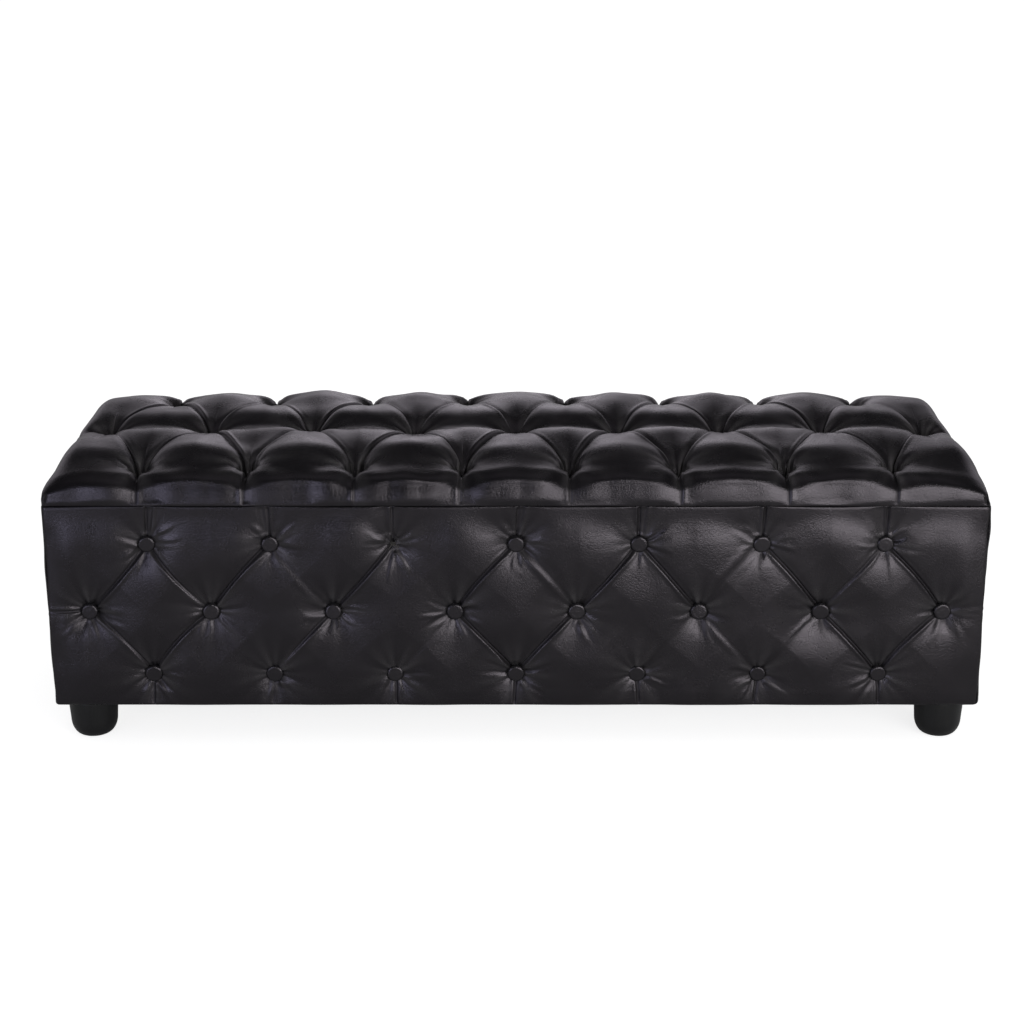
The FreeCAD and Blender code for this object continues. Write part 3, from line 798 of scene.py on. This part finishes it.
# Start, end, depth, lip, bow, lean, fade, width and valley.
front_pleats = [
    pleat(upper[0], centre[0], 2.6, 1.2, -2, -1),
    pleat(upper[0], centre[1], 2.4, 1.4, 3, 1, (1, 0.8, 0.15)),
    pleat(upper[1], centre[1], 2.6, 1.3, 6, -1),
    pleat(centre[0], lower[0], 2.2, 1.1, -9, 1, (0.9, 0.6, 1)),
    pleat(centre[1], lower[0], 2.6, 1.3, 9, -1),
    pleat(upper[1], centre[2], 0.5, 1.0, 0, 1, (0.8, 0.7, 0.5), 3.2),
    pleat(upper[2], centre[2], 2.8, 1.2, 0, -1),
    pleat(centre[2], lower[1], 2.2, 1.1, 4, -1, (1, 0.9, 0)),
    pleat(upper[2], centre[3], 0.3, 0.5, 0, 1, (0.6, 0.3, 0.3), 3.2),
    pleat(upper[3], centre[3], 2.7, 1.5, 7, -1),
    pleat(centre[3], lower[2], 0.5, 0.8, 0, -1, (0.8, 0.5, 0.2), 3.0),
    pleat(centre[3], lower[3], 2.6, 1.4, -4, 1),
    pleat(upper[3], centre[4], 0.8, 1.8, -7, 1, (1, 0.7, 0.3), 3.0),
    pleat(upper[4], centre[4], 2.8, 1.3, 0, -1),
    pleat(upper[4], centre[5], 2.4, 1.9, -3, 1),
    pleat(centre[4], lower[3], 2.6, 1.5, 5, -1),
    pleat(centre[5], lower[4], 0.4, 0.6, 0, 1, (0.7, 0.4, 0.3), 3.0),
    pleat(centre[5], lower[5], 0.7, 1.0, -3, 1, (1, 0.6, 0), 2.8),
    pleat(upper[5], centre[5], 0.6, 1.2, 6, 1, (1, 0.6, 0.5), 4.0),
    pleat(upper[5], centre[6], 2.6, 1.5, -5, 1),
    pleat(upper[6], centre[6], 1.6, 0.8, 3, -1),
    pleat(upper[6], centre[7], 2.8, 1.4, -6, 1),
    pleat(centre[6], lower[5], 0.4, 0.5, 0, 1, (0.5, 0.3, 0.3), 3.0),
    pleat(centre[6], lower[6], 2.7, 1.3, -4, 1),
    pleat(centre[7], lower[6], 2.6, 1.2, 10, -1),
    pleat(centre[0], (-half_x - 3, -6.0), 2.0, 1.2, 0, 1, (1, 0.8, 0.25), 1.6, 0.0),
    pleat(centre[7], (half_x + 3, -10.0), 0.7, 0.8, 0, -1, (1, 0.5, 0.1), 2.2, 0.0),
]
draw = np.random.default_rng(5)
for place, deep in zip(upper, (1.8, 2.0, 2.4, 1.6, 2.6, 3.0, 2.4)):
    top_edge = (place[0] + draw.uniform(-4, 4), past_rim)
    front_pleats.append(pleat(place, top_edge, deep, 1.2, 0, draw.choice((-1, 1))))
    beside = draw.uniform(7, 10) * draw.choice((-1, 1))
    start, end = (place[0] + beside / 2, place[1] + 16), (top_edge[0] + beside, past_rim)
    front_pleats.append(pleat(start, end, 0.8, 1.3))
for place, deep in zip(lower, (1.8, 1.0, 2.6, 2.4, 2.4, 2.6, 2.4)):
    low_edge = (place[0] + draw.uniform(-5, 5), -past_rim)
    front_pleats.append(pleat(place, low_edge, deep, 0.8, 0, draw.choice((-1, 1))))
leather_sides = [padded_side("front", 1.7, front_tufts, front_pleats, 31)]


# %% Pleats of the rear and the ends
def plain_pleats(rows_of_tufts, half, seed):
    """Every pleat that such a panel has, with seeded strengths."""
    upper, centre, lower = rows_of_tufts
    draw = np.random.default_rng(seed)
    made = []
    for row in (upper, lower):
        for i, place in enumerate(row):
            for target in (centre[i], centre[i + 1]):
                deep = draw.choice((0.5, 1.6, 2.5, 2.7))
                fade = (1, 0.8, draw.uniform(0.1, 1.0))
                made.append(pleat(place, target, deep, 0.6 + 0.3 * deep, draw.uniform(-7, 7), 1, fade))
            edge = (place[0] + draw.uniform(-5, 5), math.copysign(past_rim, place[1]))
            made.append(pleat(place, edge, draw.uniform(1.2, 2.8), 1.0, 0, draw.choice((-1, 1))))
    for place, end, deep in ((centre[0], -half - 3, 2.0), (centre[-1], half + 3, 1.4)):
        made.append(pleat(place, (end, -8.0), deep, 1.0, 0, 1, (1, 0.7, 0.1), 1.7, 0.0))
    return made


rear_pleats = plain_pleats(front_rows, half_x, 41)
leather_sides.append(padded_side("rear", 2.6, front_tufts, rear_pleats, 42))
for name, seed in (("right", 51), ("left", 61)):
    end_pleats = plain_pleats(end_rows, half_y, seed)
    leather_sides.append(padded_side(name, 2.2, end_tufts, end_pleats, seed + 1))
print("padded sides:", len(leather_sides))

# %% [markdown]
# ## Covered buttons
# A covered button is a metal shell with a disc of the same leather drawn over it: a low dome with a
# rounded rim. One profile is turned about an axis and set at every tuft, each a little larger or smaller
# and tipped a little, as hand-covered buttons are. One button of the front is lost, and only the knot of
# its twine is left.

# %% Buttons
button_profile = [(11.4, -2.2), (12.5, -0.8), (13.0, 1.0), (13.1, 2.6), (12.9, 4.0), (12.3, 5.3)]
button_profile += [(11.3, 6.3), (10.0, 6.9), (8.6, 7.0), (7.2, 6.9), (5.0, 7.0), (2.0, 7.1)]
button_sides, rim_wave = 36, 0.012


def one_button(draw):
    """Points and faces of one button on its own axis, about its seat."""
    turns = np.arange(button_sides) * 2 * np.pi / button_sides
    rim = 1 + rim_wave * np.sin(turns * draw.integers(5, 9) + draw.uniform(0, 6))
    points, faces = turned(button_profile, button_sides, draw.uniform(0.97, 1.03) * rim)
    tip = np.radians(draw.uniform(-5, 5, 2))
    points[:, 2] += points[:, 0] * np.tan(tip[0]) + points[:, 1] * np.tan(tip[1])
    return points, faces


def on_top(points):
    """Places points of the top, given about the seam."""
    return points + np.array([0.0, 0.0, seam_z])


def on_side(name, points):
    """Places points of a side, given about the middle of its board."""
    _, out, turn_z = panels[name]
    u, v, w = points.T
    return turned_out(u, out - side_pad + w, side_middle + v, turn_z)


def button_group(name, places, seat, seed):
    """All the buttons of the top or of a side, as one piece."""
    draw = np.random.default_rng(seed)
    made = []
    for place in places:
        points, faces = one_button(draw)
        made.append((points + np.array([*place, seat]), faces))
    points, faces = joined(made)
    placed = on_top(points) if name == "top" else on_side(name, points)
    piece = make_piece(f"{name}_covered_buttons", placed, faces)
    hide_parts(f"{name}_buttons")
    print("buttons:", name, len(places))
    return piece


lost_button = front_rows[0][2]
kept_tufts = [place for place in front_tufts if place != lost_button]
buttons = [button_group("top", top_tufts, top_seat, 71)]
side_tufts = {"front": kept_tufts, "rear": front_tufts, "right": end_tufts, "left": end_tufts}
for seed, (name, places) in enumerate(side_tufts.items(), start=72):
    buttons.append(button_group(name, places, side_seat, seed))

# %% [markdown]
# ## The knot of the lost button
# Where the button is missing, the twine that held it is left, tied off in a knot and sunk in the dimple.
# A knot is a closed loop that passes over and under itself. The trefoil is the simplest one and has a
# short formula, so a thin tube is run round it, with two frayed ends beside it.

# %% Knot
knot_size, knot_thick, frayed_thick, knot_out = 1.15, 0.8, 0.7, 2.6


def tube(line, radius, closed, sides=10):
    """Points and faces round a line that never runs straight out of the panel."""
    ahead = np.roll(line, -1, 0) - np.roll(line, 1, 0) if closed else np.gradient(line, axis=0)
    ahead /= np.linalg.norm(ahead, axis=1, keepdims=True)
    across = np.cross(ahead, (0.0, 0.0, 1.0))
    across /= np.linalg.norm(across, axis=1, keepdims=True)
    up = np.cross(across, ahead)
    turns = np.arange(sides) * 2 * np.pi / sides
    ring = np.cos(turns)[None, :, None] * across[:, None] + np.sin(turns)[None, :, None] * up[:, None]
    points = line[:, None] + radius * ring
    index = numbered(len(line), sides)
    wrapped = np.hstack([index, index[:, :1]])
    if closed:
        faces = quads(np.vstack([wrapped, wrapped[:1]]))
    else:
        faces = quads(wrapped) + [index[0].tolist(), index[-1, ::-1].tolist()]
    return points.reshape(-1, 3), faces


t = np.linspace(0, 2 * np.pi, 97)[:-1]
trefoil = np.stack([np.sin(t) + 2 * np.sin(2 * t), np.cos(t) - 2 * np.cos(2 * t), -np.sin(3 * t)], -1)
strands = [tube(trefoil * knot_size, knot_thick, True)]
for way, out_by in ((0.5, 3.0), (2.3, 4.0)):
    s = np.linspace(0.0, 1.0, 9)[:, None]
    run = np.array([[math.cos(way), -math.sin(way), 0.0]]) * (1.5 + 9.0 * s)
    strands.append(tube(run + np.array([[0.0, 0.0, 1.0]]) * out_by * s * s, frayed_thick, False))
knot_points, knot_faces = joined(strands)
knot_points = knot_points + np.array([*lost_button, side_seat + knot_out])
knot = make_piece("lost_button_knot", on_side("front", knot_points), knot_faces)
print("knot:", len(knot_points), "points")

# %% [markdown]
# ## Feet
# The feet are turned from wood and painted black: a slight taper from a plain collar to a rounded toe.
# They are turned again here with a finer profile, because the flats of the frame's feet would show in the
# gloss.

# %% Feet
foot_r, foot_base_r, toe_r, toe_h, foot_h, foot_sides = 37.5, 35.5, 16.0, 26.0, 61.0, 72
foot_profile = [(8.0, 0.0)]
for turn in np.linspace(0.0, np.pi / 2, 13):
    foot_profile.append((foot_base_r - toe_r * (1 - math.sin(turn)), toe_h * (1 - math.cos(turn))))
foot_profile += [(35.9, 32.0), (36.8, 44.0), (foot_r - 0.1, 56.0), (foot_r, 58.5), (foot_r - 0.5, 60.4)]
foot_profile += [(foot_r - 1.4, foot_h), (12.0, foot_h)]
feet = []
for corner in ("front_left", "front_right", "rear_left", "rear_right"):
    low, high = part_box(f"foot_{corner}")
    middle = [(low[0] + high[0]) / 2 / MM, (low[1] + high[1]) / 2 / MM, 0.0]
    points, faces = turned(foot_profile, foot_sides)
    foot = make_piece(f"turned_foot_{corner}", points + np.array(middle), faces)
    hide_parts(f"foot_{corner}")
    feet.append(foot)
print("feet:", len(feet))

# %% [markdown]
# ## Dust cover
# A thin black cloth is stapled under the base, so that nothing falls out of the padding. It is stretched,
# and still sags a little between the rails and puckers along its edge. It is made as a closed slab of
# cells, each with an upper and a lower face, and the cells where a foot's bolt comes through are left
# out.

# %% Form of the dust cover
cloth_x, cloth_y, cloth_top, cloth_thick, cloth_step = 676.0, 216.0, 61.85, 0.6, 10.0
bolt_x, bolt_y, bolt_gap, rim_lines = 651.0, 191.0, 7.0, 4
sag_deep, pucker_deep, pucker_long, pucker_fade = 1.6, 0.25, 9.0, 14.0


def cloth_lines(half, bolt):
    """Grid lines across the cloth, with a narrow cell at each bolt."""
    inner = bolt - bolt_gap
    middle = np.linspace(-inner, inner, int(2 * inner / cloth_step) + 1)
    rim = np.linspace(bolt + bolt_gap, half, rim_lines)
    return np.concatenate([-rim[::-1], middle, rim])


grid_x, grid_y = np.meshgrid(cloth_lines(cloth_x, bolt_x), cloth_lines(cloth_y, bolt_y), indexing="ij")
from_x, from_y = cloth_x - np.abs(grid_x), cloth_y - np.abs(grid_y)
to_foot = np.hypot(np.abs(grid_x) - bolt_x, np.abs(grid_y) - bolt_y)
inside = ease(4.0, 60.0, from_x) * ease(4.0, 60.0, from_y)
sag = sag_deep * inside * np.abs(np.sin(np.pi * grid_x / cloth_x)) * ease(45.0, 90.0, to_foot)
pucker = pucker_deep * np.sin(grid_x / pucker_long) * np.exp(-from_y / pucker_fade)
pucker += pucker_deep * np.sin(grid_y / pucker_long) * np.exp(-from_x / pucker_fade)
lower_z = cloth_top - cloth_thick - sag - np.maximum(pucker, 0.0) * ease(45.0, 60.0, to_foot)
layers = [np.stack([grid_x, grid_y, z], -1).reshape(-1, 3) for z in (lower_z + cloth_thick, lower_z)]
print("dust cover sags by", round(float(sag.max()), 1), "mm")

# %% Cells of the dust cover
cells = (grid_x.shape[0] - 1, grid_x.shape[1] - 1)
kept = np.ones(cells, dtype=bool)
kept[np.ix_((rim_lines - 1, -rim_lines), (rim_lines - 1, -rim_lines))] = False
index = numbered(*grid_x.shape)
below = grid_x.size
cloth_faces = []
for i, j in zip(*np.nonzero(kept)):
    ring = [int(index[i, j]), int(index[i + 1, j]), int(index[i + 1, j + 1]), int(index[i, j + 1])]
    cloth_faces += [ring, [k + below for k in ring[::-1]]]
    for side, (di, dj) in enumerate(((0, -1), (1, 0), (0, 1), (-1, 0))):
        next_i, next_j = i + di, j + dj
        if 0 <= next_i < cells[0] and 0 <= next_j < cells[1] and kept[next_i, next_j]:
            continue
        one, two = ring[side], ring[(side + 1) % 4]
        cloth_faces.append([two, one, one + below, two + below])
dust_cover = make_piece("stretched_dust_cover", np.concatenate(layers), cloth_faces)
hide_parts("dust_cover")
print("dust cover:", len(cloth_faces), "faces")

# %% [markdown]
# ## Leather
# The hide is black with a blue cast where it mirrors the room and a warm one where it is worn. Its finish
# is the main thing the eye reads: a fine pebble grain, soft patches that are smoother or duller, folds
# painted darker as painted shade, and pale streaks round the tufts that are partly wear and partly painted
# sheen. These come from one node group, because the cover and the buttons share them with different
# values.

# %% Group helpers
def new_group(name, inputs):
    """A node group that puts out a colour, a roughness and a height, with its ends and where it is read."""
    group = bpy.data.node_groups.new(name, "ShaderNodeTree")
    for socket, value in inputs.items():
        kind = "Float" if isinstance(value, float) else {3: "Vector", 4: "Color"}[len(value)]
        made = group.interface.new_socket(socket, in_out="INPUT", socket_type=f"NodeSocket{kind}")
        made.default_value = value
    for socket, kind in (("Colour", "Color"), ("Roughness", "Float"), ("Height", "Float")):
        group.interface.new_socket(socket, in_out="OUTPUT", socket_type=f"NodeSocket{kind}")
    taken, given = group.nodes.new("NodeGroupInput").outputs, group.nodes.new("NodeGroupOutput")
    return group, taken, given, add_node(group, "TexCoord").outputs["Object"]


def noise(tree, where, scale, detail, **more):
    """The value of a Noise Texture."""
    sockets = {"Vector": where, "Scale": scale, "Detail": detail, **more}
    return add_node(tree, "TexNoise", sockets).outputs["Fac"]


def cells_of(tree, where, scale, feature="F1"):
    """The distance that a Voronoi Texture measures."""
    sockets = {"Vector": where, "Scale": scale}
    return add_node(tree, "TexVoronoi", sockets, feature=feature).outputs["Distance"]


def make_finish(name, group, values, bump, masks=()):
    """A material that takes its colour, roughness and relief from a node group and masks on the mesh."""
    material, tree, skin = new_material(name)
    made = add_node(tree, "Group", values, node_tree=group)
    for mask in masks:
        stored = add_node(tree, "Attribute", attribute_name=mask.lower())
        set_sockets(tree, made, {mask: stored.outputs["Fac"]})
    strength, distance = bump
    relief = {"Strength": strength, "Distance": distance, "Height": made.outputs["Height"]}
    set_sockets(tree, skin, {
        "Base Color": made.outputs["Colour"],
        "Roughness": made.outputs["Roughness"],
        "Normal": add_node(tree, "Bump", relief).outputs["Normal"],
    })
    return material


print("helpers: new_group, noise, cells_of, make_finish")

# %% Leather node group
hide_inputs = {
    "Dark": colour(0.006, 0.006, 0.008),
    "Worn": colour(0.02, 0.019, 0.021),
    "Smooth": 0.3,
    "Dull": 0.46,
    "Crease": 0.0,
    "Rubbed": 0.0,
}
# The first colour is the pale grey of wear and painted sheen round the tufts, the second the painted shade
# laid into folds.
rub_and_sheen_grey, fold_shade_black = colour(0.11, 0.105, 0.105), colour(0.002, 0.002, 0.002)
hide, hide_in, hide_out, hide_at = new_group("hide_grain", hide_inputs)
patch = noise(hide, hide_at, scale=9.0, detail=2.0)
cloud = noise(hide, hide_at, scale=48.0, detail=5.0, Roughness=0.65)
pore = noise(hide, hide_at, scale=900.0, detail=2.0)
wrinkled = noise(hide, hide_at, scale=120.0, detail=3.0, Distortion=1.2)
pebble = cells_of(hide, hide_at, 620.0)
crack = rescale(hide, cells_of(hide, hide_at, 210.0, "DISTANCE_TO_EDGE"), 0.0, 0.12, -0.5, 0.0)
sheen = rescale(hide, work_out(hide, "MULTIPLY_ADD", cloud, 0.3, patch), 0.45, 0.85)
patchy = blend_of(hide, sheen, hide_in["Dark"], hide_in["Worn"])
# Pale grey streaks round the tufts: partly real wear, partly a painted sheen on the gathers.
greyed = blend_of(hide, work_out(hide, "MULTIPLY", cloud, hide_in["Rubbed"]), patchy, rub_and_sheen_grey)
rough = blend_of(hide, sheen, hide_in["Dull"], hide_in["Smooth"], "FLOAT")
grain = work_out(hide, "ADD", work_out(hide, "MULTIPLY_ADD", pebble, -0.5, pore), crack)
uneven = work_out(hide, "MULTIPLY_ADD", cloud, 0.3, grain)
# Folds are painted almost black by their mask, which is painted shade, and are made a little rougher as
# well.
set_sockets(hide, hide_out, {
    "Colour": blend_of(hide, hide_in["Crease"], greyed, fold_shade_black),
    "Roughness": work_out(hide, "MULTIPLY_ADD", hide_in["Crease"], 0.35, rough),
    "Height": work_out(hide, "MULTIPLY_ADD", wrinkled, 1.1, uneven),
})
print("node group:", hide.name)

# %% Leather materials
leather_bump, leather_tint = (0.25, 0.0006), colour(1.0, 0.91, 1.0)
cover_values = {
    "Dark": colour(0.002, 0.002, 0.0024),
    "Worn": colour(0.0045, 0.0043, 0.0047),
    "Smooth": 0.2,
    "Dull": 0.34,
}
button_values = {
    "Dark": colour(0.004, 0.004, 0.0045),
    "Worn": colour(0.009, 0.0087, 0.0092),
    "Smooth": 0.16,
    "Dull": 0.26,
}
# The cover reads the painted shade of its folds and its pale streaks of wear and painted sheen from the
# mesh.
cover_leather = make_finish("black_leather", hide, cover_values, leather_bump, ("Crease", "Rubbed"))
button_leather = make_finish("button_leather", hide, button_values, leather_bump)
for material in (cover_leather, button_leather):
    material.node_tree.nodes["Principled BSDF"].inputs["Specular Tint"].default_value = leather_tint
for piece in (top_cover, *leather_sides):
    piece.data.materials.append(cover_leather)
for piece in buttons:
    piece.data.materials.append(button_leather)
print("leather on", 1 + len(leather_sides) + len(buttons), "pieces")

# %% [markdown]
# ## Wood
# The boards, rails and battens are hidden, but an open bench shows them, so they get a real finish too.
# Wood is noise stretched along the grain: long soft bands for the growth rings and short fine streaks for
# the pores. The same group serves raw plywood, sawn pine and, under black lacquer, the turned feet.

# %% Wood node group
wood_inputs = {
    "Pale": colour(0.6, 0.43, 0.24),
    "Deep": colour(0.36, 0.22, 0.1),
    "Stretch": (2.0, 26.0, 26.0),
    "Smooth": 0.45,
    "Rough": 0.7,
}
wood, wood_in, wood_out, wood_at = new_group("wood_grain", wood_inputs)
stretched = add_node(wood, "VectorMath", {0: wood_at, 1: wood_in["Stretch"]}, operation="MULTIPLY")
drawn_out = stretched.outputs[0]
band = noise(wood, drawn_out, scale=1.0, detail=3.0, Distortion=0.6)
streak = noise(wood, drawn_out, scale=14.0, detail=4.0)
growth = work_out(wood, "SINE", work_out(wood, "MULTIPLY", band, 9.0))
wood_grain = rescale(wood, work_out(wood, "MULTIPLY_ADD", growth, 0.25, streak), 0.2, 0.8)
set_sockets(wood, wood_out, {
    "Colour": blend_of(wood, wood_grain, wood_in["Deep"], wood_in["Pale"]),
    "Roughness": blend_of(wood, streak, wood_in["Smooth"], wood_in["Rough"], "FLOAT"),
    "Height": wood_grain,
})
print("node group:", wood.name)

# %% Wood materials
grain_ways = {"x": (2.0, 30.0, 30.0), "y": (30.0, 2.0, 30.0), "z": (30.0, 30.0, 2.0)}
ply_colours = {"Pale": colour(0.62, 0.44, 0.25), "Deep": colour(0.42, 0.27, 0.13)}
pine_colours = {"Pale": colour(0.7, 0.5, 0.28), "Deep": colour(0.5, 0.31, 0.14)}
black_colours = {"Pale": colour(0.006, 0.006, 0.0065), "Deep": colour(0.003, 0.003, 0.0033)}
boards = {"plywood": (ply_colours, (0.2, 0.0006)), "pine": (pine_colours, (0.35, 0.0008))}
timbers = {}
for way, stretch in grain_ways.items():
    for timber, (colours, bump) in boards.items():
        timbers[timber, way] = make_finish(f"{timber}_{way}", wood, {**colours, "Stretch": stretch}, bump)
black_values = {**black_colours, "Stretch": grain_ways["z"], "Smooth": 0.26, "Rough": 0.4}
black_lacquer = make_finish("black_lacquer", wood, black_values, (0.08, 0.0005))
for foot in feet:
    foot.data.materials.append(black_lacquer)
print("wood:", len(timbers) + 1, "materials")

# %% [markdown]
# ## Thread, cloth and card
# Webbing, twine and the dust cover are all thread, at different sizes. Two waves across each other make
# the over and under of a weave, and a noise makes some threads paler than others. Card is pressed fibre,
# so it gets only the noise part, with the weave turned down.

# %% Weave node group
weave_inputs = {
    "Pale": colour(0.5, 0.4, 0.26),
    "Deep": colour(0.3, 0.23, 0.14),
    "Threads": 600.0,
    "Weave": 1.0,
    "Smooth": 0.7,
    "Rough": 0.95,
}
weave, weave_in, weave_out, weave_at = new_group("thread_weave", weave_inputs)
thread_sockets = {0: weave_at, "Scale": weave_in["Threads"]}
threaded = add_node(weave, "VectorMath", thread_sockets, operation="SCALE").outputs[0]
axes = add_node(weave, "SeparateXYZ", {0: threaded}).outputs
warp = work_out(weave, "SINE", work_out(weave, "ADD", axes[0], axes[2]))
weft = work_out(weave, "SINE", work_out(weave, "SUBTRACT", axes[1], axes[2]))
crossing = work_out(weave, "MULTIPLY", work_out(weave, "MULTIPLY", warp, weft), weave_in["Weave"])
fibre = noise(weave, threaded, scale=0.35, detail=4.0)
thread_relief = rescale(weave, work_out(weave, "MULTIPLY_ADD", crossing, 0.3, fibre), 0.15, 0.85)
set_sockets(weave, weave_out, {
    "Colour": blend_of(weave, thread_relief, weave_in["Deep"], weave_in["Pale"]),
    "Roughness": blend_of(weave, thread_relief, weave_in["Rough"], weave_in["Smooth"], "FLOAT"),
    "Height": thread_relief,
})
print("node group:", weave.name)

# %% Thread and card materials
twine_values = {"Pale": colour(0.05, 0.045, 0.04), "Deep": colour(0.015, 0.014, 0.013), "Threads": 5200.0}
card_values = {"Pale": colour(0.5, 0.41, 0.29), "Deep": colour(0.38, 0.3, 0.2), "Threads": 1500.0}
dust_values = {"Pale": colour(0.03, 0.03, 0.031), "Deep": colour(0.008, 0.008, 0.008), "Threads": 3600.0}
threads = {
    "webbing": make_finish("jute_webbing", weave, {"Threads": 2600.0}, (0.5, 0.0004)),
    "twine": make_finish("waxed_twine", weave, {**twine_values, "Smooth": 0.45}, (0.5, 0.0002)),
    "card": make_finish("pressed_card", weave, {**card_values, "Weave": 0.0}, (0.2, 0.0003)),
    "dust_cloth": make_finish("black_cambric", weave, dust_values, (0.4, 0.0003)),
}
knot.data.materials.append(threads["twine"])
dust_cover.data.materials.append(threads["dust_cloth"])
print("thread and card:", len(threads), "materials")

# %% [markdown]
# ## Plated steel
# Screws, bolts and insert nuts are zinc plated: a bright metal with a faint crystal pattern and dull
# spots. Only steel uses these nodes, so they sit in the material itself.

# %% Steel
zinc_dark, zinc_bright = colour(0.5, 0.5, 0.48), colour(0.68, 0.68, 0.66)
zinc, zinc_tree, plate = new_material("zinc_plate")
zinc_at = add_node(zinc_tree, "TexCoord").outputs["Object"]
dulled = noise(zinc_tree, zinc_at, scale=240.0, detail=3.0)
set_sockets(zinc_tree, plate, {
    "Metallic": 1.0,
    "Base Color": blend_of(zinc_tree, cells_of(zinc_tree, zinc_at, 700.0), zinc_dark, zinc_bright),
    "Roughness": rescale(zinc_tree, dulled, 0.3, 0.7, 0.28, 0.5),
})
print("steel:", zinc.name)

# %% [markdown]
# ## Finishes on the frame's own solids
# The hidden pieces keep their CAD solids. Each node carries its slot's name on its material, so one pass
# gives every one its finish, with the wood grain along the piece's longest side.

# %% Finish the carried-over nodes
plain_finishes = {**threads, "zinc_steel": zinc}
finished = 0
for name, node in nodes.items():
    slot_name = node.material_slots[0].material.name.split(".")[0]
    low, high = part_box(name)
    way = "xyz"[int(np.argmax(np.array(high) - np.array(low)))]
    found = timbers.get((slot_name, way)) or plain_finishes.get(slot_name)
    if found is not None:
        node.material_slots[0].material = found
        finished += 1
print("finished nodes:", finished, "of", len(nodes))
